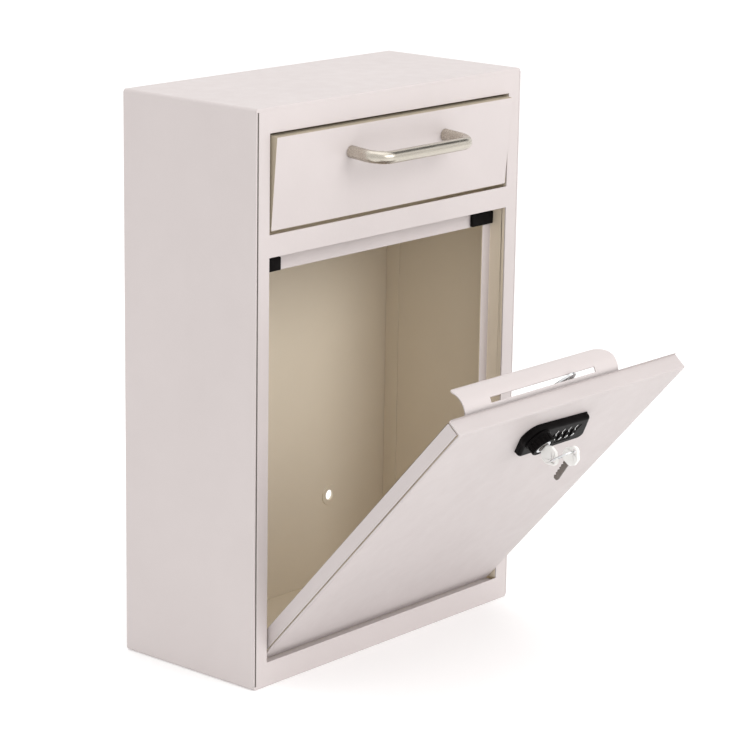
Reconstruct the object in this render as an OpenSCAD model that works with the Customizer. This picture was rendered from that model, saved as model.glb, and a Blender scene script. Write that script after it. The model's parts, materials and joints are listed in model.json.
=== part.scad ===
// Wall-mounted book drop box: a sheet steel cabinet with a tilt-out letter
// flap over a drop-down door that carries a four-dial combination cam lock.
// +X to the right, +Y to the wall, +Z up. The origin is the centre of the
// back face, which is also the centre of the four wall holes.

/* [Cabinet] */
// Outside width of the cabinet
cab_w = 286; // [280:1:300]
// Outside height of the cabinet
cab_h = 412; // [405:1:430]
// Outside depth, from the back face to the front face
cab_d = 127; // [125:1:150]
// Thickness of the sheet steel
sheet = 1.2; // [1:0.1:1.3]
// Outside radius of the bends along the cabinet's long edges
bend_r = 2.5; // [2:0.1:4]
// Spacing of the wall holes along X
wall_hole_dx = 152; // [120:1:200]
// Spacing of the wall holes along Z
wall_hole_dz = 271; // [200:1:320]
// Radius of each wall hole
wall_hole_r = 4; // [3:0.5:5]

/* [Front frame] */
// Width of the upright stiles beside the openings
stile_w = 13.5; // [12.5:0.5:16]
// Height of the rail over the flap
top_rail_h = 17.9; // [16:0.1:20]
// Height of the rail between the flap and the door
mid_rail_h = 15.8; // [15:0.1:18]
// Height of the rail under the door
bottom_rail_h = 17.9; // [16:0.1:20]
// Height of the flap's opening
flap_mouth_h = 69.7; // [69:0.1:72]
// Depth of the jambs, from the front face to the stop strips
jamb_d = 14.5; // [14:0.1:16]
// Width of the stop strips that show beside the jambs
stop_w = 9; // [7:0.5:10]
// How far the top stop strip hangs under the middle rail
stop_drop = 14.1; // [13:0.1:14.3]

/* [Door] */
// Angle of the door from closed, as drawn
door_open = 41.5; // [30:0.5:41.5]
// Length of the door's skin, from its lower edge to its top edge
door_l = 266; // [262:1:266]
// Depth of the door's flanges, from the front of the skin
door_flange = 12.2; // [11:0.1:12.5]
// Distance of the hinge axis behind the front of the skin
door_axis_back = 8; // [8:0.1:8.4]
// Height of the hinge axis over the door's lower edge
door_axis_up = 9.6; // [9.4:0.1:9.7]

/* [Flap] */
// Angle of the flap from closed, as drawn
flap_open = 4.5; // [0:0.5:30]
// Height of the flap's skin
flap_h = 64.8; // [63:0.1:65]
// Distance of the flap's hinge axis behind the front of its skin
flap_axis_back = 6; // [5.8:0.1:6.2]
// Height of the flap's hinge axis over its lower edge
flap_axis_up = 3.5; // [3.4:0.1:3.6]
// Length of the hopper floor behind the hinge axis
floor_l = 85; // [70:1:90]
// Slope of the hopper floor when the flap is closed
floor_slope = 25; // [20:1:28]
// Distance between the centres of the handle's feet
handle_cc = 102; // [90:1:120]
// Distance of the handle's bar from the flap, to its centre line
handle_out = 27; // [24:1:32]
// Radius of the handle's rod
handle_r = 4.5; // [4:0.1:5]

/* [Lock] */
// Position of the lock's axis along X
lock_x = -23.5; // [-30:0.5:-15]
// Distance of the lock's axis under the door's top edge
lock_drop = 30; // [29.5:0.5:31]
// Angle of the cam lever from upright, towards +X, as drawn
cam_turn = 44; // [40:1:60]
// Length of the cam lever from the lock's axis to its tip
cam_l = 48; // [46:0.5:48]
// Distance between neighbouring dials
dial_pitch = 7.3; // [6.8:0.1:7.6]
// Radius of each dial
dial_r = 9.6; // [9.4:0.1:9.8]
// Angle of the key ring from hanging straight down, outwards, as drawn
ring_lift = 120; // [100:1:125]
// Angle of the spare key from hanging straight down, inwards, as drawn
spare_lean = 34; // [20:1:40]

/* [Hidden] */
$fn = 48;

shell_colour = [0.90, 0.86, 0.84];
inner_colour = [0.80, 0.74, 0.67];
rubber_colour = [0.08, 0.08, 0.08];
lock_colour = [0.10, 0.09, 0.09];
steel_colour = [0.75, 0.75, 0.74];
nickel_colour = [0.70, 0.66, 0.60];
key_colour = [0.93, 0.92, 0.90];

// The front face, the inside of the shell and the openings
y_front = -cab_d;
half_in = cab_w / 2 - sheet;
z_in = cab_h / 2 - sheet;
open_half = cab_w / 2 - stile_w;
z_flap_hi = cab_h / 2 - top_rail_h;
z_flap_lo = z_flap_hi - flap_mouth_h;
z_door_hi = z_flap_lo - mid_rail_h;
z_door_lo = bottom_rail_h - cab_h / 2;
frame_flange = 5;
jamb_back = y_front + jamb_d + sheet;

// Running gaps round the door and the flap
side_gap = 1.8;
door_gap = 1.5;
flap_gap = 3.1;
pin_gap = 0.05;

// Both hinges: pin, bush and the jamb that holds the pin
leaf_half = open_half - side_gap;
pin_r = 2;
bush_r = 3.2;
bush_head_r = 4.2;
bush_head = side_gap - 0.3;
pin_in = leaf_half - 2.6;
clip_t = 0.8;

// The door's hinge axis, and the door's edges seen from it
y_door_axis = y_front + door_axis_back;
z_door_axis = z_door_lo + door_gap + door_axis_up;
door_top = door_l - door_axis_up;
notch_r = 8.25;

// The flap's hinge axis, and the hopper seen from it
y_flap_axis = y_front + flap_axis_back;
z_flap_axis = z_flap_lo + flap_gap + flap_axis_up;
flap_top = flap_h - flap_axis_up;
flap_flange = 8;
cheek_r = flap_top + 0.4;
stop_tab_r = cheek_r + 4;
stop_tab_from = 43.5;
stop_tab_to = 36;
handle_up = 42.6;
handle_bend = 13;
screw_r = 2;

// The guard behind the door's top edge: a lip under the flange, then an arch
guard_half = 85;
guard_arch_r = 15;
guard_arch_n = 23.8;
guard_arch_down = 11.2;
guard_arch_end = 46;
guard_n = guard_arch_n + guard_arch_r * cos(guard_arch_end);
guard_lip_n = 4;
guard_corner_r = 13;
slot_half = 58;
slot_near = 15.9;
slot_far = 19.4;

// The lock, measured from its axis at the front of the door's skin
lock_up = door_top - lock_drop;
gasket_t = 0.6;
face_out = 5;
barrel_r = 8.9;
spindle_r = 6;
plug_r = 4;
plug_in = 8;
knob_out = 13;
body_in = 14.5;
cam_in = 16.7;
cam_t = 1.6;
stud_r = 2.5;
dial_x = 25;
dial_up = -9;
dial_in = 3.2;
dial_t = 4.8;
dial_gap = 0.3;
axle_r = 1.5;
well_x = [21, 51];
well_y = [-19.2, 1.2];
lock_screw_at = [[14, 6], [56, -2]];
lock_screw_r = 1.5;

// Keys, measured from the tip of the blade
blade_l = 16.5;
blade_t = 1.2;
blade_half = 2.2;
head_l = 14.5;
head_half = 6.5;
head_t = 2.6;
head_end_r = 3.8;
key_eye_r = 2;
key_eye = blade_l + head_l - head_end_r;
key_in = 3;
ring_r = 9;
ring_wire = 0.6;
spare_x = 3;
ring_reach = ring_r + sqrt(ring_r * ring_r - spare_x * spare_x);

// Points along an arc about a centre
function arc(at, r, from, to, steps = 8) =
  [for (i = [0:steps])
    let (a = from + (to - from) * i / steps)
    [at[0] + r * cos(a), at[1] + r * sin(a)]];

// Outline of a rectangle about the origin, with round corners
function round_rect(w, h, r) = concat(
  arc([w / 2 - r, h / 2 - r], r, 0, 90),
  arc([r - w / 2, h / 2 - r], r, 90, 180),
  arc([r - w / 2, r - h / 2], r, 180, 270),
  arc([w / 2 - r, r - h / 2], r, 270, 360));

// Outline of the lock's face: wide end round the knob, blunt end at the dials
function lock_outline(grow) = concat(
  arc([64, -17], 5 + grow, -90, 30),
  arc([53, 2.5], 4.5 + grow, 30, 87),
  arc([-2.5, 0.5], 9.5 + grow, 87, 207),
  arc([1.5, -18], 4.5 + grow, 207, 270));

// Section of the front frame: a flat face with flanges bent back at its ends
function frame_half(side, inset) =
  let (r = bend_r - inset, x = half_in - inset)
  [for (p = arc([x - r, y_front + inset + r], r, 0, -90))
    [side * p[0], p[1]]];

function reverse(list) = [for (i = [len(list) - 1:-1:0]) list[i]];

module both_sides() {
  children();
  mirror([1, 0, 0]) children();
}

// A solid from x0 to x1 whose section is drawn in Y and Z
module along_x(x0, x1) {
  translate([x0, 0, 0]) rotate([90, 0, 90]) linear_extrude(x1 - x0) children();
}

module rod_x(r, x0, x1) {
  translate([x0, 0, 0]) rotate([0, 90, 0]) cylinder(r = r, h = x1 - x0);
}

module box(x, y, z) {
  translate([x[0], y[0], z[0]]) cube([x[1] - x[0], y[1] - y[0], z[1] - z[0]]);
}

module at_door_axis() {
  translate([0, y_door_axis, z_door_axis]) children();
}

module at_flap_axis() {
  translate([0, y_flap_axis, z_flap_axis]) children();
}

module on_door() {
  at_door_axis() rotate([door_open, 0, 0]) children();
}

module on_flap() {
  at_flap_axis() rotate([flap_open, 0, 0]) children();
}

// The lock's own frame: +X right, +Y up the door, +Z out of its face
module on_lock() {
  on_door() translate([lock_x, -door_axis_back, lock_up]) rotate([90, 0, 0]) children();
}

// ---- cabinet ----

module body_wrap() {
  color(shell_colour)
  rotate([90, 0, 0])
  linear_extrude(cab_d)
  difference() {
    polygon(round_rect(cab_w, cab_h, bend_r));
    polygon(round_rect(2 * half_in, 2 * z_in, bend_r - sheet));
  }
}

// The space inside the wrap, with its round corners
module inside_wrap() {
  rotate([90, 0, 0]) translate([0, 0, -1])
  linear_extrude(cab_d + 2) polygon(round_rect(2 * half_in, 2 * z_in, bend_r - sheet));
}

module wall_hole_places() {
  for (x = [-1, 1], z = [-1, 1])
    translate([x * wall_hole_dx / 2, 0, z * wall_hole_dz / 2]) rotate([90, 0, 0]) children();
}

module back_panel() {
  color(inner_colour)
  difference() {
    intersection() {
      union() {
        box([-half_in, half_in], [-sheet, 0], [-z_in, z_in]);
        wall_hole_places() cylinder(r = 2 * wall_hole_r, h = sheet + 0.8);
      }
      inside_wrap();
    }
    wall_hole_places() translate([0, 0, -1]) cylinder(r = wall_hole_r, h = 4);
  }
}

// The front plate: its sides turn back inside the wrap, its corners are relieved for the bends
module front_frame() {
  section = concat(
    [[half_in, y_front + frame_flange]], frame_half(1, 0),
    reverse(frame_half(-1, 0)), [[-half_in, y_front + frame_flange]],
    [[sheet - half_in, y_front + frame_flange]], frame_half(-1, sheet),
    reverse(frame_half(1, sheet)), [[half_in - sheet, y_front + frame_flange]]);
  relief = half_in - (bend_r - sheet);
  color(shell_colour)
  difference() {
    translate([0, 0, -z_in]) linear_extrude(2 * z_in) polygon(section);
    for (x = [[-half_in - 1, -relief], [relief, half_in + 1]], side = [-1, 1])
      scale([1, 1, side])
        box(x, [y_front - 1, y_front + frame_flange + 1], [z_in - (bend_r - sheet), z_in + 1]);
    for (z = [[z_door_lo, z_door_hi], [z_flap_lo, z_flap_hi]])
      box([-open_half, open_half], [y_front - 1, y_front + sheet + 1], z);
  }
}

// One upright: a return behind the stile, and a stop strip beside the door
module jamb() {
  color(shell_colour)
  difference() {
    union() {
      box([open_half, open_half + sheet], [y_front + sheet, jamb_back], [z_door_lo, z_flap_hi]);
      box([open_half - stop_w, open_half], [jamb_back - sheet, jamb_back],
          [z_door_lo, z_door_hi + sheet]);
    }
    for (y_z = [[y_door_axis, z_door_axis], [y_flap_axis, z_flap_axis]])
      translate([0, y_z[0], y_z[1]]) rod_x(pin_r, open_half - 1, open_half + 2 * sheet);
  }
}

module jamb_left() {
  mirror([1, 0, 0]) jamb();
}

module jamb_right() {
  jamb();
}

// The strip over the door, hung from the back of the middle rail
module stop_angle() {
  x_strip = open_half - stop_w;
  color(shell_colour) {
    box([-open_half, open_half], [y_front + sheet, jamb_back - sheet],
        [z_door_hi, z_door_hi + sheet]);
    box([-x_strip, x_strip], [jamb_back - sheet, jamb_back],
        [z_door_hi - stop_drop, z_door_hi + sheet]);
  }
}

module bumper() {
  color(rubber_colour)
  box([open_half - 24.5, open_half - 0.2], [jamb_back - sheet - 3, jamb_back - sheet],
      [z_door_hi - stop_drop + 0.5, z_door_hi - stop_drop + 10]);
}

module bumper_left() {
  mirror([1, 0, 0]) bumper();
}

module bumper_right() {
  bumper();
}

// A hinge pin through the jamb, with its head outside
module hinge_pin() {
  rod_x(pin_r, pin_in, open_half + sheet + 2.4);
  rod_x(3.4, open_half + sheet + clip_t, open_half + sheet + 2.4);
}

module door_pins() {
  color(lock_colour) at_door_axis() both_sides() hinge_pin();
}

module flap_pins() {
  color(lock_colour) at_flap_axis() both_sides() hinge_pin();
}

// Spring washers under the heads of the four hinge pins
module pin_clips() {
  color(steel_colour)
  both_sides()
  for (y_z = [[y_door_axis, z_door_axis], [y_flap_axis, z_flap_axis]])
    translate([0, y_z[0], y_z[1]])
    difference() {
      rod_x(4, open_half + sheet, open_half + sheet + clip_t);
      rod_x(pin_r, open_half, open_half + sheet + clip_t + 1);
    }
}

// ---- bushes, shared by both hinges ----

module bush() {
  difference() {
    union() {
      rod_x(bush_r, leaf_half - 2.2, leaf_half + 0.1);
      rod_x(bush_head_r, leaf_half, leaf_half + bush_head);
    }
    rod_x(pin_r + pin_gap, leaf_half - 4, leaf_half + 4);
  }
}

module door_bushes() {
  color(rubber_colour) on_door() both_sides() bush();
}

module flap_bushes() {
  color(rubber_colour) on_flap() both_sides() bush();
}

// ---- door ----

module door_panel() {
  rear = door_flange - door_axis_back;
  color(shell_colour)
  difference() {
    on_door() difference() {
      union() {
        box([-leaf_half, leaf_half], [-door_axis_back, sheet - door_axis_back],
            [-door_axis_up, door_top]);
        both_sides()
          box([leaf_half - sheet, leaf_half], [-door_axis_back, rear], [-door_axis_up, door_top]);
        box([-leaf_half, leaf_half], [-door_axis_back, rear], [door_top - sheet, door_top]);
        box([-leaf_half, leaf_half], [-door_axis_back, 4.5 - door_axis_back],
            [-door_axis_up, sheet - door_axis_up]);
      }
      translate([0, door_axis_back, -door_axis_up])
        rod_x(notch_r, -leaf_half - 1, leaf_half + 1);
      rod_x(bush_r, -leaf_half - 1, leaf_half + 1);
    }
    on_lock() {
      translate([0, 0, -3]) cylinder(r = barrel_r, h = 6);
      box(well_x, well_y, [-3, 3]);
      for (at = lock_screw_at) translate([at[0], at[1], -3]) cylinder(r = 1.6, h = 6);
    }
  }
}

module latch_guard() {
  under_r = guard_arch_r - sheet;
  from_top = 180 - asin((guard_arch_down - sheet) / guard_arch_r);
  from_under = 180 - asin((guard_arch_down - 2 * sheet) / under_r);
  centre = [guard_arch_n, -guard_arch_down];
  section = concat(
    [[guard_lip_n, -sheet]],
    arc(centre, guard_arch_r, from_top, guard_arch_end, 16),
    arc(centre, under_r, guard_arch_end, from_under, 16),
    [[guard_lip_n, -2 * sheet]]);
  plan = concat(
    [[-guard_half, 0], [guard_half, 0]],
    arc([guard_half - guard_corner_r, guard_n - guard_corner_r], guard_corner_r, 0, 90),
    [[3 - guard_half, guard_n], [-guard_half, guard_n - 3]]);
  color(shell_colour)
  on_door() translate([lock_x - 1, -door_axis_back, door_top])
  difference() {
    intersection() {
      along_x(-guard_half, guard_half) polygon(section);
      translate([0, 0, -10]) linear_extrude(20) polygon(plan);
    }
    box([1 - slot_half, 1 + slot_half], [slot_near, slot_far], [-20, 20]);
  }
}

// ---- lock, fixed parts ----

// Round slots that clear the dials
module dial_windows() {
  for (i = [0:3])
    translate([dial_x + i * dial_pitch, dial_up, -dial_in])
    rod_x(dial_r + dial_gap, -dial_t / 2 - dial_gap, dial_t / 2 + dial_gap);
}

module dial_well(z0, z1) {
  box(well_x, well_y, [z0, z1]);
}

module lock_gasket() {
  color(rubber_colour)
  on_lock() difference() {
    linear_extrude(gasket_t) polygon(lock_outline(0.3));
    translate([0, 0, -1]) cylinder(r = barrel_r, h = 3);
    dial_well(-1, 1);
    for (at = lock_screw_at) translate([at[0], at[1], -1]) cylinder(r = 1.6, h = 3);
  }
}

module lock_housing() {
  step = 1.3;
  color(lock_colour)
  on_lock() difference() {
    union() {
      translate([0, 0, gasket_t])
        linear_extrude(face_out - gasket_t - step) polygon(lock_outline(0));
      translate([0, 0, face_out - step - 0.1])
        linear_extrude(step + 0.1) polygon(lock_outline(-step));
      translate([0, 0, -sheet]) cylinder(r = barrel_r, h = 2 * sheet);
    }
    translate([0, 0, -3]) cylinder(r = spindle_r + pin_gap, h = 12);
    difference() {
      dial_well(gasket_t - 0.1, face_out - 1.4);
      translate([0, 0, -3]) cylinder(r = barrel_r + 2, h = 12);
    }
    dial_windows();
    for (at = lock_screw_at) translate([at[0], at[1], -1]) cylinder(r = lock_screw_r, h = 4);
  }
}

module lock_body() {
  color(steel_colour)
  on_lock() difference() {
    box([-12, 60], [-21, 11], [-body_in, -sheet]);
    translate([0, 0, -20]) cylinder(r = spindle_r + pin_gap, h = 22);
    dial_well(1.2 - body_in, 0);
    translate([0, dial_up, -dial_in]) rod_x(axle_r, 18, 54);
    for (at = lock_screw_at) translate([at[0], at[1], -20]) cylinder(r = lock_screw_r, h = 22);
  }
}

module dial_axle() {
  color(steel_colour)
  on_lock() translate([0, dial_up, -dial_in]) rod_x(axle_r, 18, 54);
}

// A leaf spring in the floor of the dial well, with a finger under each dial
module detent_spring() {
  color(steel_colour)
  on_lock() translate([0, dial_up, 1.2 - body_in]) {
    box([22, 50], [-8, -5], [0, 0.3]);
    for (i = [0:3])
      box([dial_x + i * dial_pitch - 1.5, dial_x + i * dial_pitch + 1.5], [-5, 6], [0, 0.3]);
  }
}

module lock_screws() {
  color(steel_colour)
  on_lock() for (at = lock_screw_at) translate([at[0], at[1], 0]) {
    translate([0, 0, -body_in]) cylinder(r = lock_screw_r, h = body_in + 3);
    translate([0, 0, -body_in - 1.8]) cylinder(r = 2.8, h = 1.8);
  }
}

module dial(i) {
  color(lock_colour)
  on_lock() translate([dial_x + i * dial_pitch, dial_up, -dial_in])
  difference() {
    rod_x(dial_r, -dial_t / 2, dial_t / 2);
    rod_x(axle_r + pin_gap, -dial_t, dial_t);
  }
}

module dial_1() {
  dial(0);
}

module dial_2() {
  dial(1);
}

module dial_3() {
  dial(2);
}

module dial_4() {
  dial(3);
}

// ---- lock, parts that turn with the knob ----

module lock_knob() {
  color(lock_colour)
  on_lock() difference() {
    union() {
      translate([0, 0, face_out + 0.3]) cylinder(r = 10.2, h = 1.7);
      translate([0, 0, face_out + 2]) cylinder(r = 9.2, h = knob_out - face_out - 2);
    }
    translate([0, 0, face_out - 1]) cylinder(r = spindle_r, h = 12);
  }
}

module lock_spindle() {
  color(steel_colour)
  on_lock() difference() {
    union() {
      translate([0, 0, 0.2 - cam_in]) cylinder(r = spindle_r, h = knob_out + cam_in - 0.4);
      translate([-3.5, -3.5, -cam_in - cam_t]) cube([7, 7, cam_t + 1]);
      translate([0, 0, -cam_in - cam_t - 5]) cylinder(r = stud_r, h = 6);
    }
    translate([0, 0, -plug_in - 0.2]) cylinder(r = plug_r + pin_gap, h = 30);
  }
}

module cam_lever() {
  root_r = 8;
  tip_r = 5.5;
  lean = asin((root_r - tip_r) / (cam_l - tip_r));
  outline = concat(
    arc([0, 0], root_r, 180 - lean, 360 + lean, 16),
    arc([0, cam_l - tip_r], tip_r, lean, 180 - lean, 12));
  color(steel_colour)
  on_lock() rotate([0, 0, -cam_turn])
  translate([0, 0, -cam_in - cam_t])
  difference() {
    linear_extrude(cam_t) polygon(outline);
    rotate([0, 0, cam_turn]) translate([-3.55, -3.55, -1]) cube([7.1, 7.1, 4]);
    box([-1.8, 1.8], [cam_l - 13, cam_l - 5], [-1, 3]);
  }
}

module cam_washer() {
  color(steel_colour)
  on_lock() translate([0, 0, -cam_in - cam_t - 0.6])
  difference() {
    cylinder(r = 6.5, h = 0.6);
    translate([0, 0, -1]) cylinder(r = stud_r, h = 3);
  }
}

module cam_nut() {
  color(steel_colour)
  on_lock() translate([0, 0, -cam_in - cam_t - 3.8])
  difference() {
    cylinder(r = 5.2, h = 3.2, $fn = 6);
    translate([0, 0, -1]) cylinder(r = stud_r, h = 6);
  }
}

// ---- keys ----

module key_plug() {
  color(nickel_colour)
  on_lock() difference() {
    translate([0, 0, -plug_in]) cylinder(r = plug_r, h = knob_out + plug_in + 0.3);
    box([-blade_t / 2 - 0.05, blade_t / 2 + 0.05], [-blade_half - 0.1, blade_half + 0.1],
        [-key_in - 0.5, knob_out + 2]);
  }
}

// A key's blade in the plane of Y and Z, its tip at the origin, pointing down
module key_blade() {
  notches = [for (i = [0:4]) [3 + 2.6 * i, i % 2 == 0 ? 1.2 : 0.5]];
  edge = concat(
    [[-blade_half + 1, 0], [blade_half - 1, 0], [blade_half, 1.5]],
    [for (n = notches) each [[blade_half, n[0] - 1], [blade_half - n[1], n[0]],
                             [blade_half, n[0] + 1]]],
    [[blade_half, blade_l + 3], [-blade_half, blade_l + 3], [-blade_half, 1.5]]);
  along_x(-blade_t / 2, blade_t / 2) polygon(edge);
}

// A key's head: a six-sided grip that narrows to a round eye
module key_head() {
  eye = [0, key_eye];
  outline = concat(
    [[-3.4, blade_l], [3.4, blade_l], [head_half, blade_l + 3.5], [head_half, blade_l + 8.5]],
    arc(eye, head_end_r, 20, 160, 10),
    [[-head_half, blade_l + 8.5], [-head_half, blade_l + 3.5]]);
  difference() {
    along_x(-head_t / 2, head_t / 2) polygon(outline);
    box([-blade_t / 2, blade_t / 2], [-blade_half, blade_half], [blade_l - 1, blade_l + 3]);
    translate([0, 0, key_eye]) rod_x(key_eye_r, -5, 5);
  }
}

module in_keyway() {
  on_lock() translate([0, 0, -key_in]) children();
}

module master_key_blade() {
  color(steel_colour) in_keyway() key_blade();
}

module master_key_head() {
  color(key_colour) in_keyway() key_head();
}

// The eye of the master key, turned so that -Z is the way the ring points
module at_eye() {
  on_lock() translate([0, 0, key_eye - key_in])
  rotate([-90 - door_open - ring_lift, 0, 0]) children();
}

module key_ring() {
  color(steel_colour)
  at_eye() translate([0, 0, -ring_r]) rotate([90, 0, 0])
  rotate_extrude() translate([ring_r, 0]) circle(ring_wire, $fn = 24);
}

// The spare key beside the master key, leaning back across the ring
module on_ring() {
  at_eye() translate([spare_x, 0, -ring_reach])
  rotate([ring_lift + spare_lean, 0, 0]) translate([0, 0, -key_eye]) children();
}

module spare_key_blade() {
  color(steel_colour) on_ring() key_blade();
}

module spare_key_head() {
  color(key_colour) on_ring() key_head();
}

// ---- flap and hopper ----

module flap_panel() {
  color(shell_colour)
  on_flap() difference() {
    union() {
      box([-leaf_half, leaf_half], [-flap_axis_back, sheet - flap_axis_back],
          [-flap_axis_up, flap_top]);
      box([sheet - leaf_half, leaf_half - sheet], [-flap_axis_back, flap_flange - flap_axis_back],
          [flap_top - sheet, flap_top]);
      box([sheet - leaf_half, leaf_half - sheet], [-flap_axis_back, flap_flange - flap_axis_back],
          [-flap_axis_up, sheet - flap_axis_up]);
    }
    both_sides() box([leaf_half - 3, leaf_half], [-bush_r, bush_r], [-flap_axis_up - 1, 0]);
    both_sides() translate([handle_cc / 2, 0, handle_up]) rotate([90, 0, 0])
      cylinder(r = screw_r, h = 20);
  }
}

// A side of the hopper: a sector about the hinge axis, with a stop at its top
module flap_cheek() {
  front = sheet - flap_axis_back;
  foot = [for (r = [cheek_r, 2.5]) [r * cos(floor_slope), -r * sin(floor_slope) - flap_axis_up - 1]];
  outline = concat(
    [[front, -flap_axis_up]],
    arc([0, 0], cheek_r, acos(front / cheek_r), stop_tab_from),
    arc([0, 0], stop_tab_r, stop_tab_from, stop_tab_to, 2),
    arc([0, 0], cheek_r, stop_tab_to, -floor_slope),
    foot);
  color(shell_colour)
  on_flap() difference() {
    along_x(leaf_half - sheet, leaf_half) polygon(outline);
    rod_x(bush_r, leaf_half - 3, leaf_half + 3);
  }
}

module flap_cheek_left() {
  mirror([1, 0, 0]) flap_cheek();
}

module flap_cheek_right() {
  flap_cheek();
}

module hopper_floor() {
  lip = -flap_axis_up;
  rear = [floor_l * cos(floor_slope), lip - floor_l * sin(floor_slope)];
  section = [
    [-4.5, lip], [2, lip], rear, [rear[0] - 0.5, rear[1] - 1],
    [1.6, lip - 1], [-4.5, lip - 1]];
  color(inner_colour)
  on_flap() along_x(sheet - leaf_half, leaf_half - sheet) polygon(section);
}

module pull_handle() {
  leg = handle_out - handle_bend;
  x_leg = handle_cc / 2;
  color(nickel_colour)
  on_flap() translate([0, -flap_axis_back, handle_up])
  difference() {
    union() {
      both_sides() translate([x_leg, 0, 0]) rotate([90, 0, 0]) cylinder(r = handle_r, h = leg);
      both_sides() translate([x_leg - handle_bend, -leg, 0])
        rotate_extrude(angle = -90) translate([handle_bend, 0]) circle(handle_r);
      translate([0, -handle_out, 0]) rod_x(handle_r, handle_bend - x_leg, x_leg - handle_bend);
    }
    both_sides() translate([x_leg, 1, 0]) rotate([90, 0, 0]) cylinder(r = screw_r, h = 9);
  }
}

module handle_screws() {
  color(steel_colour)
  on_flap() both_sides() translate([handle_cc / 2, sheet - flap_axis_back, handle_up])
  rotate([90, 0, 0]) {
    cylinder(r = screw_r, h = 8);
    translate([0, 0, -2.2]) cylinder(r = 3.8, h = 2.2);
  }
}

body_wrap();
back_panel();
front_frame();
jamb_left();
jamb_right();
stop_angle();
bumper_left();
bumper_right();
door_pins();
flap_pins();
pin_clips();
door_panel();
latch_guard();
door_bushes();
lock_gasket();
lock_housing();
lock_body();
dial_axle();
detent_spring();
lock_screws();
lock_knob();
lock_spindle();
cam_lever();
cam_washer();
cam_nut();
key_plug();
master_key_blade();
master_key_head();
key_ring();
spare_key_blade();
spare_key_head();
dial_1();
dial_2();
dial_3();
dial_4();
flap_panel();
flap_cheek_left();
flap_cheek_right();
hopper_floor();
flap_bushes();
pull_handle();
handle_screws();
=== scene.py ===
# How the book drop box looks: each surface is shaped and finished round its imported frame.
import json
import math

import bmesh
import bpy
from mathutils import Matrix, Vector


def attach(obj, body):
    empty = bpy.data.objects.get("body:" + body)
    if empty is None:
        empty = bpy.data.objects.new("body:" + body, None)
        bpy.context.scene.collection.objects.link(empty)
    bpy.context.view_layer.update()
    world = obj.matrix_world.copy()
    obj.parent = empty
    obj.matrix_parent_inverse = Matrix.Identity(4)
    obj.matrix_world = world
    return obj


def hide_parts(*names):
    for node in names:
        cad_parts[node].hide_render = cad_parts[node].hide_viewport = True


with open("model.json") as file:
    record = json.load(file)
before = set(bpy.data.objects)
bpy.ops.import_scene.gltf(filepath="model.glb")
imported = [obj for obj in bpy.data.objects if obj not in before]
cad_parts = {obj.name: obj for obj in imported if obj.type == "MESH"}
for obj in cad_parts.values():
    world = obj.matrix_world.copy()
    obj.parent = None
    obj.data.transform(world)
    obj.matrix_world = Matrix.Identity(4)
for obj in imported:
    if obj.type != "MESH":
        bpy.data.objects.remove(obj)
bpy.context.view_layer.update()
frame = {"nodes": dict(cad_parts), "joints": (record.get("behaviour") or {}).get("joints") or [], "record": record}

scene = bpy.context.scene
nodes = frame["nodes"]
record = frame["record"]
joints = {joint["name"]: joint for joint in frame["joints"]}
slot_of = {part["node"]: part["material_slot"] for part in record["subparts"]}
body_of = {node: body for body, members in record["behaviour"]["bodies"].items() for node in members}

MM = 0.001
METRES = Matrix.Scale(MM, 4)
SHARP = math.radians(30)

# ---- frames and sizes, in millimetres ----


def leaf_frame(joint):
    """The frame of a hinged leaf: its origin on the hinge axis, +Z up the leaf."""
    opened = math.radians(-joints[joint]["range_deg"][0])
    return Matrix.Translation(joints[joint]["pos_m"]) @ Matrix.Rotation(opened, 4, "X")


ROW = Matrix.Identity(4)
ON_DOOR = leaf_frame("door_hinge")
ON_FLAP = leaf_frame("flap_hinge")
FACING_OUT = ON_DOOR.to_3x3().to_4x4() @ Matrix.Rotation(math.pi / 2, 4, "X")
ON_LOCK = Matrix.Translation(joints["knob_turn"]["pos_m"]) @ FACING_OUT


def extent(node, space=ROW):
    """Lowest and highest corner of a CAD node in a frame, in millimetres."""
    back = space.inverted()
    points = [back @ v.co / MM for v in nodes[node].data.vertices]
    low = Vector([min(p[axis] for p in points) for axis in range(3)])
    high = Vector([max(p[axis] for p in points) for axis in range(3)])
    return low, high


wrap_low, wrap_high = extent("body_wrap")
frame_high = extent("front_frame")[1]
door_low, door_high = extent("door_panel", ON_DOOR)
flap_low, flap_high = extent("flap_panel", ON_FLAP)
SHEET = wrap_high.x - extent("back_panel")[1].x
BEND = 2.5

# ---- solids ----


def arc(centre, radius, start, end, steps=8):
    """Points along an arc about a centre, from one angle to another in degrees."""
    angles = [math.radians(start + (end - start) * i / steps) for i in range(steps + 1)]
    return [(centre[0] + radius * math.cos(a), centre[1] + radius * math.sin(a)) for a in angles]


def loft(rings, hollow=False):
    """A solid through rings with the same number of points; a hollow one ends where it began."""
    bm = bmesh.new()
    loops = [[bm.verts.new(p) for p in ring] for ring in rings]
    count = len(loops[0])
    for below, above in zip(loops, loops[1:] + loops[:1] if hollow else loops[1:]):
        for i in range(count):
            j = (i + 1) % count
            bm.faces.new((below[i], below[j], above[j], above[i]))
    if not hollow:
        bm.faces.new(reversed(loops[0]))
        bm.faces.new(loops[-1])
    bmesh.ops.recalc_face_normals(bm, faces=bm.faces)
    return bm


def box(x, y, z):
    """A block between two levels on each axis."""
    bm = bmesh.new()
    bmesh.ops.create_cube(bm, size=1)
    middle = Vector((sum(x), sum(y), sum(z))) / 2
    size = Vector((x[1] - x[0], y[1] - y[0], z[1] - z[0]))
    bm.transform(Matrix.Translation(middle) @ Matrix.Diagonal(size).to_4x4())
    return bm


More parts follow.
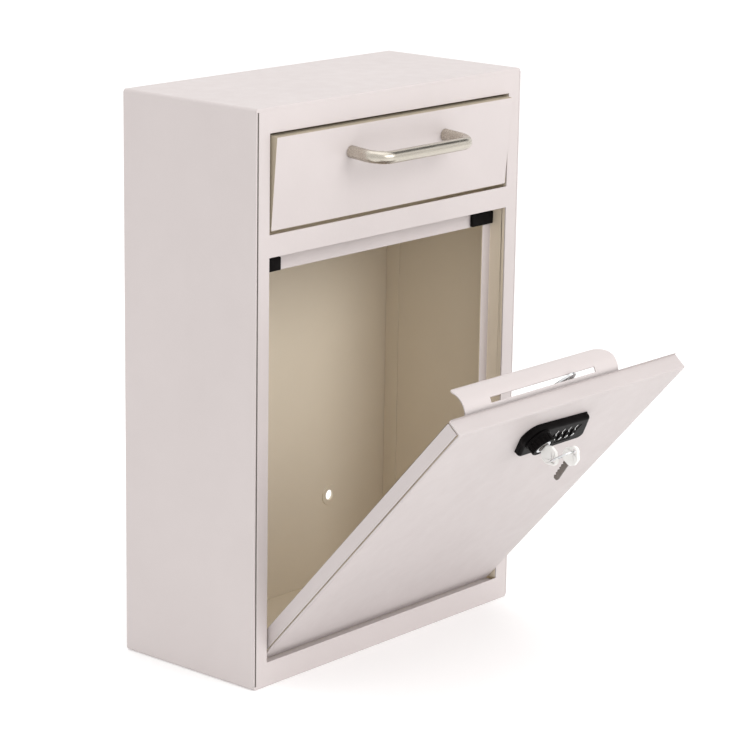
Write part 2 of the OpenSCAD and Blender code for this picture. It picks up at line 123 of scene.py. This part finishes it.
def rod(radius, low, high, turn=ROW):
    """A cylinder along Z from low to high, turned afterwards."""
    steps = 48
    turns = [2 * math.pi * i / steps for i in range(steps)]
    bm = loft([[(radius * math.cos(a), radius * math.sin(a), z) for a in turns] for z in (low, high)])
    bm.transform(turn)
    return bm


def offset(line, depth, closed=False):
    """A line of 2-D points moved to its left by a depth, corners kept."""
    count = len(line)
    moved = []
    for i, point in enumerate(line):
        before = line[(i - 1) % count] if closed or i else None
        after = line[(i + 1) % count] if closed or i < count - 1 else None
        ways = []
        for a, b in ((before, point), (point, after)):
            if a is not None and b is not None:
                ways.append(Vector((a[1] - b[1], b[0] - a[0])).normalized())
        side = sum(ways, Vector((0, 0))).normalized()
        moved.append(Vector(point) + side * (depth / side.dot(ways[0])))
    return moved


def folded(line, rows, place, depth, keep, closed=False):
    """Sheet metal folded along a line; keep(point, row) says which cells of it are there."""
    bm = bmesh.new()
    back = offset(line, depth, closed)
    skins = [[[bm.verts.new(place(p, row)) for row in rows] for p in side] for side in (line, back)]
    spans = len(line) if closed else len(line) - 1
    cells = set()
    for i in range(spans):
        middle = (Vector(line[i]) + Vector(line[(i + 1) % len(line)])) / 2
        for j in range(len(rows) - 1):
            if keep(middle, (rows[j] + rows[j + 1]) / 2):
                cells.add((i, j))
    for i, j in cells:
        n = (i + 1) % len(line)
        before = (i - 1) % spans if closed else i - 1
        after = (i + 1) % spans if closed else i + 1
        front, rear = skins
        bm.faces.new((front[i][j], front[n][j], front[n][j + 1], front[i][j + 1]))
        bm.faces.new((rear[i][j + 1], rear[n][j + 1], rear[n][j], rear[i][j]))
        walls = (((before, j), (i, j), (i, j + 1)), ((after, j), (n, j), (n, j + 1)),
                 ((i, j - 1), (i, j), (n, j)), ((i, j + 1), (i, j + 1), (n, j + 1)))
        for beyond, a, b in walls:
            if beyond not in cells:
                ends = (front[a[0]][a[1]], front[b[0]][b[1]], rear[b[0]][b[1]], rear[a[0]][a[1]])
                bm.faces.new(ends)
    bmesh.ops.delete(bm, geom=[v for v in bm.verts if not v.link_faces], context="VERTS")
    bmesh.ops.recalc_face_normals(bm, faces=bm.faces)
    return bm


def joined(*solids):
    """Several solids in one mesh, without merging them."""
    whole = bmesh.new()
    for bm in solids:
        mesh = bpy.data.meshes.new("solid")
        bm.to_mesh(mesh)
        bm.free()
        whole.from_mesh(mesh)
        bpy.data.meshes.remove(mesh)
    return whole


def boolean(bm, tool):
    """The solid bm with the solid tool cut away from it."""
    pair = []
    for solid in (bm, tool):
        mesh = bpy.data.meshes.new("solid")
        solid.to_mesh(mesh)
        solid.free()
        pair.append(bpy.data.objects.new("solid", mesh))
        scene.collection.objects.link(pair[-1])
    cut = pair[0].modifiers.new("cut", "BOOLEAN")
    cut.object = pair[1]
    cut.operation = "DIFFERENCE"
    cut.solver = "EXACT"
    graph = bpy.context.evaluated_depsgraph_get()
    result = bmesh.new()
    result.from_mesh(pair[0].evaluated_get(graph).to_mesh())
    for obj in pair:
        mesh = obj.data
        bpy.data.objects.remove(obj)
        bpy.data.meshes.remove(mesh)
    return result


def cad_copy(node, space=ROW, whole=False):
    """A CAD node's solid in a frame, in millimetres; its flat faces can be left whole."""
    bm = bmesh.new()
    bm.from_mesh(nodes[node].data)
    bm.transform(METRES.inverted() @ space.inverted())
    bmesh.ops.remove_doubles(bm, verts=bm.verts, dist=0.002)
    bmesh.ops.dissolve_limit(bm, angle_limit=math.radians(0.4), verts=bm.verts, edges=bm.edges)
    if not whole:
        bmesh.ops.triangulate(bm, faces=[face for face in bm.faces if len(face.verts) > 4])
    return bm


def rounded(bm, edge, wide, sharp):
    """Marks the edges to round and returns the widest of their widths, in millimetres.

    edge is the usual width; wide holds (test, width) pairs for the edges that differ.
    """
    bmesh.ops.recalc_face_normals(bm, faces=bm.faces)
    widest = max([edge] + [width for _, width in wide])
    weight = bm.edges.layers.float.new("bevel_weight_edge")
    for e in bm.edges:
        if len(e.link_faces) != 2 or e.calc_face_angle() < sharp:
            continue
        width = edge
        for test, special in wide:
            if test((e.verts[0].co + e.verts[1].co) / 2, (e.verts[1].co - e.verts[0].co).normalized()):
                width = special
        e[weight] = width / widest
    return widest


def add_piece(name, bm, material, body, replaces=(), space=ROW, edge=0.25, wide=(), segments=3,
              sharp=SHARP, smooth=True):
    """Turns a solid into a finished piece that rides on a body and stands for CAD nodes."""
    width = rounded(bm, edge, wide, sharp) if edge else 0
    bm.transform(space @ METRES)
    for face in bm.faces:
        face.smooth = smooth
    mesh = bpy.data.meshes.new(name)
    bm.to_mesh(mesh)
    bm.free()
    obj = bpy.data.objects.new(name, mesh)
    scene.collection.objects.link(obj)
    for m in material if isinstance(material, (list, tuple)) else [material]:
        mesh.materials.append(m)
    if edge:
        bevel = obj.modifiers.new("edges", "BEVEL")
        bevel.limit_method = "WEIGHT"
        bevel.width = width * MM
        bevel.segments = segments
        bevel.use_clamp_overlap = False
    flatten = obj.modifiers.new("normals", "WEIGHTED_NORMAL")
    flatten.mode = "FACE_AREA"
    flatten.weight = 100
    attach(obj, body)
    if replaces:
        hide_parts(*replaces)
    return obj


# ---- materials ----


def add_node(tree, kind, inputs=None, **settings):
    """A shader node of a kind; each input is a value, or a socket to link from."""
    made = tree.nodes.new("ShaderNode" + kind)
    for name, value in settings.items():
        setattr(made, name, value)
    for key, value in (inputs or {}).items():
        if isinstance(value, bpy.types.NodeSocket):
            tree.links.new(value, made.inputs[key])
        else:
            made.inputs[key].default_value = value
    return made


def noise(tree, size, detail, stretch):
    """Noise whose grains are about size millimetres, longer along the axes with stretch over 1."""
    place = add_node(tree, "TexCoord").outputs["Object"]
    scale = Vector([1 / s for s in stretch])
    mapped = add_node(tree, "Mapping", {"Vector": place, "Scale": scale}).outputs["Vector"]
    grain = {"Vector": mapped, "Scale": 1 / (size * MM), "Detail": detail, "Roughness": 0.55}
    return add_node(tree, "TexNoise", grain).outputs["Fac"]


def between(tree, factor, low, high, start=0.3, end=0.7):
    """A number that goes from low to high as the factor goes from start to end."""
    ends = {"Value": factor, "From Min": start, "From Max": end, "To Min": low, "To Max": high}
    return add_node(tree, "MapRange", ends).outputs["Result"]


def blend(tree, factor, first, second):
    """A colour that goes from the first to the second as the factor goes from 0 to 1."""
    mix = add_node(tree, "Mix", data_type="RGBA")
    tree.links.new(factor, mix.inputs["Factor"])
    for key, value in (("A", first), ("B", second)):
        socket = [s for s in mix.inputs if s.name == key and s.type == "RGBA"][0]
        if isinstance(value, bpy.types.NodeSocket):
            tree.links.new(value, socket)
        else:
            socket.default_value = (*value, 1)
    return [s for s in mix.outputs if s.type == "RGBA"][0]


def finish(name, colours, roughness, bumps, patch, stretch=(1, 1, 1), metallic=0.0, ior=1.5):
    """A material with patchy colour and gloss, and with bumps of (grain, depth) in millimetres."""
    material = bpy.data.materials.new(name)
    material.use_nodes = True
    tree = material.node_tree
    shader = tree.nodes["Principled BSDF"]
    patches = noise(tree, patch, 3, stretch)
    colour = blend(tree, between(tree, patches, 0, 1), *colours)
    tree.links.new(colour, shader.inputs["Base Color"])
    gloss = noise(tree, patch / 5, 3, stretch)
    tree.links.new(between(tree, gloss, *roughness), shader.inputs["Roughness"])
    shader.inputs["Metallic"].default_value = metallic
    shader.inputs["IOR"].default_value = ior
    normal = None
    for grain, depth in bumps:
        inputs = {"Height": noise(tree, grain, 2, stretch), "Distance": depth * MM, "Strength": 1.0}
        if normal:
            inputs["Normal"] = normal
        normal = add_node(tree, "Bump", inputs).outputs["Normal"]
    if normal:
        tree.links.new(normal, shader.inputs["Normal"])
    return material


def plated(name, light, dark, roughness, stretch, grain=0.5):
    """Brushed or plated metal, its scratches longer along the axes with stretch over 1."""
    return finish(name, (dark, light), roughness, [(grain, 0.003)], 6, stretch, metallic=1.0)


POWDER = [(2.2, 0.05), (0.7, 0.03)]
COAT_PATCH = 60


def powder_coat(name, dark, light, roughness=(0.45, 0.58)):
    """Baked powder paint with a fine orange peel."""
    return finish(name, (dark, light), roughness, POWDER, COAT_PATCH)


SHELL = powder_coat("shell_powder_coat", (0.572, 0.517, 0.508), (0.590, 0.534, 0.525), (0.40, 0.52))
# Painted shade: the inside's tan is the dim, warm light inside the box painted into the colour of its inner faces.
SHADED_INNER = powder_coat("inner_coat_painted_shade", (0.78, 0.69, 0.55), (0.80, 0.71, 0.57))
MATERIALS = {
    "shell_paint": SHELL,
    "inner_paint": SHADED_INNER,
    "black_rubber": finish(
        "black_rubber", ((0.006, 0.005, 0.005), (0.011, 0.010, 0.010)), (0.62, 0.8), [(0.3, 0.02)], 5,
        ior=1.1),
    "black_nylon": finish(
        "black_nylon", ((0.012, 0.012, 0.012), (0.022, 0.021, 0.02)), (0.4, 0.55), [(0.25, 0.01)], 5),
    "black_steel": finish(
        "black_oxide", ((0.02, 0.02, 0.02), (0.05, 0.048, 0.045)), (0.35, 0.5), [(0.3, 0.01)], 4,
        metallic=0.7),
    "lock_black": finish(
        "lock_moulding", ((0.004, 0.0035, 0.0035), (0.007, 0.006, 0.006)), (0.34, 0.44),
        [(0.35, 0.006)], 9, ior=1.08),
    "dial_black": finish(
        "dial_moulding", ((0.004, 0.004, 0.004), (0.008, 0.007, 0.007)), (0.36, 0.48),
        [(0.3, 0.006)], 4, ior=1.1),
    "zinc_steel": plated("zinc_plate", (0.74, 0.75, 0.76), (0.60, 0.61, 0.62), (0.22, 0.36), (1, 1, 1)),
    # The key's nickel has a dark colour: a painted dark reflection on the blade.
    "key_metal": plated("key_nickel_dark_reflection", (0.19, 0.17, 0.155), (0.11, 0.10, 0.09), (0.2, 0.32), (1, 8, 8)),
    "key_plastic": finish(
        "key_head_moulding", ((0.78, 0.77, 0.74), (0.84, 0.83, 0.81)), (0.34, 0.46), [(0.4, 0.01)], 6),
    "brushed_nickel": plated(
        "brushed_nickel", (0.57, 0.53, 0.465), (0.49, 0.45, 0.39), (0.22, 0.30), (12, 1, 1), 0.2),
}
# Painted shade: the door's coat is a darker copy of the shell's, for the dimmer light on its downward-facing skin.
DOOR_SHADED_COAT = powder_coat("door_coat_painted_shade", (0.522, 0.472, 0.464), (0.540, 0.489, 0.481), (0.42, 0.54))
# Painted shade: a darker tan for the flap's flanges, cheeks and hopper floor, which sit in dim gaps.
HOPPER_SHADE = powder_coat("hopper_painted_shade", (0.42, 0.36, 0.27), (0.44, 0.38, 0.285))
# Painted shade: a dark colour for the flange faces inside the left groove, where shadow falls.
SEAM_SHADE = finish("seam_painted_shade", ((0.22, 0.20, 0.185), (0.27, 0.25, 0.23)), (0.6, 0.8), [(0.5, 0.02)], 8)
MARKS = finish("white_marking", ((0.78, 0.78, 0.76), (0.86, 0.86, 0.85)), (0.4, 0.5), [(0.3, 0.004)], 3)

# ---- cabinet shell ----

HALF_OPEN = extent("stop_angle")[1].x
LEVELS = sorted({round(v.co.z / MM, 2) for v in nodes["front_frame"].data.vertices
                 if abs(abs(v.co.x / MM) - HALF_OPEN) < 0.05})
DOOR_MOUTH = LEVELS[0], LEVELS[1]
FLAP_MOUTH = LEVELS[2], LEVELS[3]
FRONT = wrap_low.y
FOLDS = wrap_high.z - 2.6  # the front plate's top and bottom strips begin here
WALL = wrap_high.x - SHEET
GROOVE = 1.2
SWEEP = math.hypot(door_low.y, door_low.z) + 0.4  # clear of the door's lower edge as it turns
OVERLAP = 0.02
NEAR = 0.01


def rounded_outline(half_wide, half_high, radius, extra):
    """A rectangle with round corners, with extra levels marked on its upright sides."""
    x, z = half_wide - radius, half_high - radius
    levels = sorted(extra)
    line = arc((x, z), radius, 0, 90) + arc((-x, z), radius, 90, 180)
    line += [(-half_wide, level) for level in reversed(levels)]
    line += arc((-x, -z), radius, 180, 270) + arc((x, -z), radius, 270, 360)
    line += [(half_wide, level) for level in levels]
    return line


def make_jamb(node):
    """A jamb; its faces that look across the opening get the inside's painted shade."""
    bm = cad_copy(node)
    for face in bm.faces:
        face.material_index = 1 if abs(face.normal.x) > 0.9 else 0
    add_piece(node + "_part", bm, [SHELL, SHADED_INNER], "cabinet", [node], edge=0.3)


def make_back():
    """The back panel, with the narrow flanges that stand along both side walls."""
    flange_t = 0.9
    flange_depth = 14
    flange_top = wrap_high.z - 6
    flanges = []
    for side in (1, -1):
        x = sorted((side * (WALL - OVERLAP), side * (WALL - flange_t)))
        flanges.append(box(x, (-flange_depth, NEAR - SHEET), (-flange_top, flange_top)))
    bm = joined(cad_copy("back_panel"), *flanges)
    for face in bm.faces:
        # All but the outer back face take the inside's painted shade.
        face.material_index = 0 if face.normal.y > 0.9 else 1
    add_piece("back_plate", bm, [SHELL, SHADED_INNER], "cabinet", ["back_panel"], edge=0.3, smooth=False)


def make_wrap():
    """The wrap; its top and bottom stop behind the folds of the front plate."""
    behind = FRONT + SHEET
    line = rounded_outline(wrap_high.x, wrap_high.z, BEND, (-FOLDS, FOLDS))
    rows = [wrap_high.y, behind, FRONT]
    bm = folded(line, rows, lambda p, y: (p[0], y, p[1]), SHEET,
                lambda p, y: y > behind or abs(p[1]) < FOLDS, closed=True)
    for face in bm.faces:
        at = face.calc_center_median()
        inside = abs(at.x) < WALL + NEAR and abs(at.z) < wrap_high.z - SHEET + NEAR
        # Inside faces behind the front plate take the inside's painted shade.
        face.material_index = 1 if inside and at.y > behind else 0
    add_piece("shell_wrap", bm, [SHELL, SHADED_INNER], "cabinet", ["body_wrap"], edge=0.3)


def make_front():
    """The front plate and the ledge behind its lower rail.

    Its sides fold into the wrap, with a seam at the left, and its ends fold over the wrap.
    """
    line = side_fold(WALL - 0.15, 0.3)
    line += [(-x, y) for x, y in reversed(side_fold(WALL - GROOVE, 0.8))]
    rows = [-FOLDS, *DOOR_MOUTH, *FLAP_MOUTH, FOLDS]

    def solid(p, z):
        mouths = (DOOR_MOUTH[0] < z < DOOR_MOUTH[1], FLAP_MOUTH[0] < z < FLAP_MOUTH[1])
        return not (abs(p[0]) < HALF_OPEN and any(mouths))

    plate = folded(line, rows, lambda p, z: (p[0], p[1], z), -SHEET, solid)
    for face in plate.faces:
        # Faces inside the left groove take the seam's painted shade.
        if face.calc_center_median().x < GROOVE + 0.3 - WALL:
            face.material_index = 1
    caps = [fold_over(side) for side in (1, -1)]
    top = ON_DOOR.translation.z / MM - SWEEP
    ledge_y = FRONT + SHEET - OVERLAP, FRONT + 9.5
    ledge = box((-HALF_OPEN, HALF_OPEN), ledge_y, (top - SHEET, top))

    def on_fold(at, way):
        return abs(at.z) > FOLDS - NEAR

    add_piece("front_plate", joined(plate, ledge, *caps), [SHELL, SEAM_SHADE], "cabinet", ["front_frame"],
              edge=0.3, wide=[(on_fold, 0.0)])


def side_fold(edge_x, bend):
    """Half of the front plate's outline, seen from above: its side flange, bend and face."""
    turn = arc((edge_x - bend, FRONT + bend), bend, 0, -90, 6)
    return [(edge_x, frame_high.y)] + turn + [(HALF_OPEN, FRONT)]


def fold_over(side):
    """The top or bottom strip of the front plate, its outer edge bent softly backwards."""
    soft = 1.0
    rings = []
    for depth, y in [(0, FRONT + SHEET)] + arc((soft, FRONT + soft), soft, 180, 270, 5):
        corner = arc((wrap_high.x - BEND, wrap_high.z - BEND), BEND - depth, 0, 90)
        edge = [(wrap_high.x - depth, FOLDS)] + corner
        edge += [(-x, z) for x, z in reversed(edge)]
        rings.append([(x, y, side * z) for x, z in edge])
    return loft(rings)


# ---- door and flap ----


def make_door():
    """The door's pan: a slit parts its side flanges from the skin and from the top flange."""
    skin = door_low.y
    inner = skin + SHEET
    top = door_high.z
    slit = 0.9
    top_slit = 0.8
    flange_y = 3
    bm = cad_copy("door_panel", ON_DOOR, whole=True)
    for side in (1, -1):
        x = sorted((side * (door_high.x + 1), side * (door_high.x - SHEET - 0.2)))
        bm = boolean(bm, box(x, (inner, inner + slit), (door_low.z - 1, top - SHEET - NEAR)))
        bm = boolean(bm, box(x, (inner, door_high.y + 1), (top - SHEET - top_slit, top - SHEET)))

    def top_fold(at, way):
        return abs(way.x) > 0.9 and at.y < skin + NEAR and at.z > top - NEAR

    def flange_end(at, way):
        at_end = abs(at.x) > door_high.x - SHEET and at.z > top - 3
        return abs(way.x) > 0.9 and at_end and at.y > flange_y

    add_piece("door_pan", bm, DOOR_SHADED_COAT, "door", ["door_panel"], ON_DOOR, 0.3,
              [(top_fold, 1.3), (flange_end, 2.6)], 4)


def make_flap():
    """The flap's pan, folded far back along its top and with softened lower corners."""
    skin = flap_low.y
    fold_end = flap_high.x - 1.5
    fold_y = flap_high.y - OVERLAP, flap_high.y + 7

    def top_fold(at, way):
        return abs(way.x) > 0.9 and at.y < skin + NEAR and at.z > flap_high.z - NEAR

    def low_corner(at, way):
        return abs(way.y) > 0.9 and abs(at.x) > flap_high.x - NEAR and at.z < flap_low.z + NEAR

    fold = box((-fold_end, fold_end), fold_y, (flap_high.z - SHEET, flap_high.z))
    bm = joined(cad_copy("flap_panel", ON_FLAP, whole=True), fold)
    for face in bm.faces:
        # All but the flap's front skin take the hopper's painted shade.
        face.material_index = 0 if face.normal.y < -0.9 else 1
    add_piece("flap_pan", bm, [SHELL, HOPPER_SHADE], "flap", ["flap_panel"], ON_FLAP, 0.3,
              [(top_fold, 0.6), (low_corner, 1.8)], 4)


# ---- combination lock ----

DIALS = [extent(f"dial_{i}", ON_LOCK) for i in range(1, 5)]
DIAL_R = (DIALS[0][1].y - DIALS[0][0].y) / 2
DIAL_HALF = (DIALS[0][1].x - DIALS[0][0].x) / 2
DIAL_AT = [(low + high) / 2 for low, high in DIALS]
WINDOW_R = DIAL_R + 0.3
WINDOW_HALF = DIAL_HALF + 0.3
PANEL_DEPTH = 0.35
NUMBERS = 10
DIGIT_SIZE = 4.8
MOULDED_EDGE = math.radians(50)
FACE = extent("lock_housing", ON_LOCK)[1].z
GASKET = extent("lock_gasket", ON_LOCK)[1].z
SPINDLE_R = extent("lock_spindle", ON_LOCK)[1].x
ALONG_X = Matrix.Rotation(math.pi / 2, 4, "Y")


def lock_outline(grow):
    """The outline of the lock's face, moved out by grow: round at the knob, slanted past the dials."""
    return (arc((64, -17), 5 + grow, -90, 30) + arc((53, 2.5), 4.5 + grow, 30, 87)
            + arc((-2.5, 0.5), 9.5 + grow, 87, 207) + arc((1.5, -18), 4.5 + grow, 207, 270))


def make_housing():
    """The moulded cover, crowned at its rim, with windows for the dials and a seat for the knob."""
    crown = [(0, GASKET), (0, 2.8), (-0.35, 3.7), (-0.9, 4.4), (-1.7, FACE - 0.15), (-2.6, FACE)]
    bm = loft([[(x, y, z) for x, y in lock_outline(grow)] for grow, z in crown])
    reach = DIAL_HALF + 1.6
    panel_x = DIAL_AT[0].x - reach, DIAL_AT[-1].x + reach
    panel_y = DIAL_AT[0].y - 7.2, DIAL_AT[0].y + 9.6
    bm = boolean(bm, box(panel_x, panel_y, (FACE - PANEL_DEPTH, FACE + 1)))
    for at in DIAL_AT:
        place = Matrix.Translation(at) @ ALONG_X
        bm = boolean(bm, rod(WINDOW_R, -WINDOW_HALF, WINDOW_HALF, place))
    bm = boolean(bm, rod(SPINDLE_R + 0.05, -3, FACE + 3))
    add_piece("lock_cover", bm, MATERIALS["lock_black"], "door", ["lock_housing"], ON_LOCK, 0.15,
              sharp=MOULDED_EDGE)


def make_marks():
    """A white index line above each dial's window."""
    half = 0.28
    marks = []
    for at in DIAL_AT:
        window_y = at.y + math.sqrt(WINDOW_R ** 2 - (FACE - at.z) ** 2)
        y = window_y + 0.7, window_y + 4.2
        marks.append(box((at.x - half, at.x + half), y, (FACE - 0.4, FACE - 0.29)))
    add_piece("dial_marks", joined(*marks), MARKS, "door", (), ON_LOCK, 0)


def wheel_ring(radius, x, depth):
    """A ring about X with a shallow finger notch between each two numbers."""
    steps = 120
    ring = []
    for i in range(steps):
        a = 2 * math.pi * i / steps
        notch = max(0.0, -math.cos(NUMBERS * a)) ** 4
        r = radius - depth * notch
        ring.append((x, r * math.sin(a), r * math.cos(a)))
    return ring


def digit(text, size):
    """A flat numeral, cut in strips so that it can be wrapped round a dial."""
    curve = bpy.data.curves.new("numeral", "FONT")
    curve.body = text
    curve.size = size
    curve.align_x = "CENTER"
    curve.align_y = "CENTER"
    curve.offset = 0.008 * size
    obj = bpy.data.objects.new("numeral", curve)
    scene.collection.objects.link(obj)
    bm = bmesh.new()
    bm.from_mesh(obj.evaluated_get(bpy.context.evaluated_depsgraph_get()).to_mesh())
    bpy.data.objects.remove(obj)
    bpy.data.curves.remove(curve)
    strips = 14
    for i in range(1 - strips // 2, strips // 2):
        geometry = bm.verts[:] + bm.edges[:] + bm.faces[:]
        cut_at = 0, i * size / strips, 0
        bmesh.ops.bisect_plane(bm, geom=geometry, plane_co=cut_at, plane_no=(0, 1, 0))
    middle = (max(v.co.y for v in bm.verts) + min(v.co.y for v in bm.verts)) / 2
    bmesh.ops.translate(bm, verts=bm.verts, vec=(0, -middle, 0))
    return bm


def make_dials():
    """The four number wheels, each with its numerals printed round it."""
    rim = DIAL_R - 0.04
    chamfer_r = rim - 0.45
    shoulder = DIAL_HALF - 0.35
    ink = rim + 0.03
    sides = [(chamfer_r, -DIAL_HALF, 0.2), (rim, -shoulder, 0.5), (rim, shoulder, 0.5),
             (chamfer_r, DIAL_HALF, 0.2)]
    for number, at in enumerate(DIAL_AT, 1):
        name = f"dial_{number}"
        wheel = loft([wheel_ring(radius, x, depth) for radius, x, depth in sides])
        wheel.transform(Matrix.Translation(at))
        add_piece(name + "_wheel", wheel, MATERIALS["dial_black"], name, [name], ON_LOCK, 0.1,
                  sharp=MOULDED_EDGE)
        numerals = []
        for value in range(NUMBERS):
            bm = digit(str(value), DIGIT_SIZE)
            for v in bm.verts:
                turn = v.co.y / rim + value * 2 * math.pi / NUMBERS
                v.co = at + Vector((v.co.x, ink * math.sin(turn), ink * math.cos(turn)))
            numerals.append(bm)
        add_piece(name + "_numerals", joined(*numerals), MARKS, name, (), ON_LOCK, 0)


def make_knob():
    """The knob: a base flange and a fluted grip round the bright spindle."""
    low, high = extent("lock_knob", ON_LOCK)
    rim = high.x
    grip = rim - 1.0
    bore = SPINDLE_R + 0.02
    base = low.z
    top = high.z
    flutes = 16
    steps = 12 * flutes
    sides = [(bore, base, 0), (rim - 0.3, base, 0), (rim, base + 0.3, 0), (rim, base + 1.3, 0),
             (rim - 0.4, base + 1.7, 0), (grip - 0.1, base + 1.75, 0), (grip, base + 2.3, 0.7),
             (grip, top - 0.9, 0.7), (grip - 0.35, top - 0.25, 0.45), (grip - 1.0, top, 0),
             (SPINDLE_R + 0.4, top, 0), (bore, top - 0.35, 0)]
    rings = []
    for radius, z, flute in sides:
        ring = []
        for i in range(steps):
            a = 2 * math.pi * i / steps
            r = radius - flute * max(0.0, math.cos(flutes * a)) ** 2
            ring.append((r * math.cos(a), r * math.sin(a), z))
        rings.append(ring)
    grip_part = loft(rings, hollow=True)
    add_piece("knob_grip", grip_part, MATERIALS["lock_black"], "knob", ["lock_knob"], ON_LOCK, 0)


make_back()
make_wrap()
make_front()
make_jamb("jamb_left")
make_jamb("jamb_right")
make_door()
make_flap()
make_housing()
make_marks()
make_dials()
make_knob()

# ---- nodes whose shape is right, with their edges broken ----

EDGES = {
    "stop_angle": 0.3, "flap_cheek_left": 0.25, "flap_cheek_right": 0.25, "hopper_floor": 0.3,
    "latch_guard": 0.35, "door_pins": 0.35, "flap_pins": 0.35, "pin_clips": 0.15,
    "door_bushes": 0.25, "flap_bushes": 0.25, "lock_gasket": 0.12, "lock_body": 0.4,
    "dial_axle": 0.2, "detent_spring": 0.08, "lock_spindle": 0.3, "cam_lever": 0.3,
    "cam_washer": 0.12, "cam_nut": 0.35, "key_plug": 0.15, "bumper_left": 0.9,
    "bumper_right": 0.9, "lock_screws": 0.3, "handle_screws": 0.4, "pull_handle": 0.5,
    "master_key_blade": 0.12, "spare_key_blade": 0.12, "master_key_head": 0.6,
    "spare_key_head": 0.6, "key_ring": 0,
}
# Sheets that take the hopper's painted shade.
HOPPER_SHADE_SHEETS = "flap_cheek_left", "flap_cheek_right", "hopper_floor"


def refine(node):
    """A CAD node's own shape with rounded edges, in its finish."""
    material = HOPPER_SHADE if node in HOPPER_SHADE_SHEETS else MATERIALS[slot_of[node]]
    add_piece(node + "_part", cad_copy(node), material, body_of[node], [node], edge=EDGES[node])


for node in EDGES:
    refine(node)

# ---- floor, light and camera: places in metres, the lens in millimetres ----

EYE = -1.5117, -1.4065, 0.5027
AZIMUTH = math.radians(-49.425)
ELEVATION = math.radians(14.323)
ROLL = math.radians(0.914)
LENS = 136.0
MIDDLE = 0, -0.1, 0


def add_floor():
    """A wide white floor that glows a little, as lit studio paper does."""
    bm = bmesh.new()
    bmesh.ops.create_grid(bm, x_segments=1, y_segments=1, size=15)
    mesh = bpy.data.meshes.new("floor")
    bm.to_mesh(mesh)
    bm.free()
    floor = bpy.data.objects.new("floor", mesh)
    floor.location.z = wrap_low.z * MM
    scene.collection.objects.link(floor)
    paper = finish("studio_floor", ((0.89, 0.89, 0.89), (0.90, 0.90, 0.90)), (0.8, 0.9), [(30, 0.02)], 300)
    shader = paper.node_tree.nodes["Principled BSDF"]
    shader.inputs["Emission Color"].default_value = (1, 1, 1, 1)
    shader.inputs["Emission Strength"].default_value = 0.16
    mesh.materials.append(paper)


def add_sky():
    """Soft light from all round, dimmer low and at the left, with one dark flag for the handle."""
    world = bpy.data.worlds.new("studio")
    world.use_nodes = True
    scene.world = world
    tree = world.node_tree
    towards = add_node(tree, "TexCoord").outputs["Generated"]
    axes = add_node(tree, "SeparateXYZ", {"Vector": towards}).outputs
    height = between(tree, axes["Z"], 0.98, 1.1, 0.0, 0.6)
    left = between(tree, axes["X"], 0.95, 1.0, -0.9, 0.1)
    flag = Vector((0.74, -0.15, 0.66)).normalized()
    near = add_node(tree, "VectorMath", {0: towards, 1: flag}, operation="DOT_PRODUCT").outputs["Value"]
    dimmed = between(tree, near, 1.0, 0.06, 0.93, 0.985)
    level = add_node(tree, "Math", {0: height, 1: left}, operation="MULTIPLY").outputs["Value"]
    level = add_node(tree, "Math", {0: level, 1: dimmed}, operation="MULTIPLY").outputs["Value"]
    tree.links.new(level, tree.nodes["Background"].inputs["Strength"])
    tree.nodes["Background"].inputs["Color"].default_value = (1.0, 0.995, 0.99, 1)


def add_softbox(name, place, size, power):
    """A rectangular light that faces the middle of the box."""
    light = bpy.data.lights.new(name, "AREA")
    light.shape = "RECTANGLE"
    light.size, light.size_y = size
    light.energy = power
    lamp = bpy.data.objects.new(name, light)
    lamp.location = place
    lamp.rotation_euler = (Vector(MIDDLE) - Vector(place)).to_track_quat("-Z", "Y").to_euler()
    scene.collection.objects.link(lamp)


def add_camera():
    """The camera: seen from the left and a little above."""
    level = math.cos(ELEVATION)
    ahead = Vector((-math.sin(AZIMUTH) * level, math.cos(AZIMUTH) * level, -math.sin(ELEVATION)))
    camera = bpy.data.objects.new("camera", bpy.data.cameras.new("camera"))
    camera.data.sensor_width = 36
    camera.data.lens = LENS
    camera.data.clip_end = 60
    turn = ahead.to_track_quat("-Z", "Y").to_matrix().to_4x4() @ Matrix.Rotation(ROLL, 4, "Z")
    camera.matrix_world = Matrix.Translation(EYE) @ turn
    scene.collection.objects.link(camera)
    scene.camera = camera


add_floor()
add_sky()
add_softbox("overhead", (0.1, -0.3, 2.0), (1.8, 1.8), 8)
add_softbox("front", (0.3, -2.0, 1.1), (1.4, 1.0), 15)
add_camera()
scene.view_settings.view_transform = "Standard"
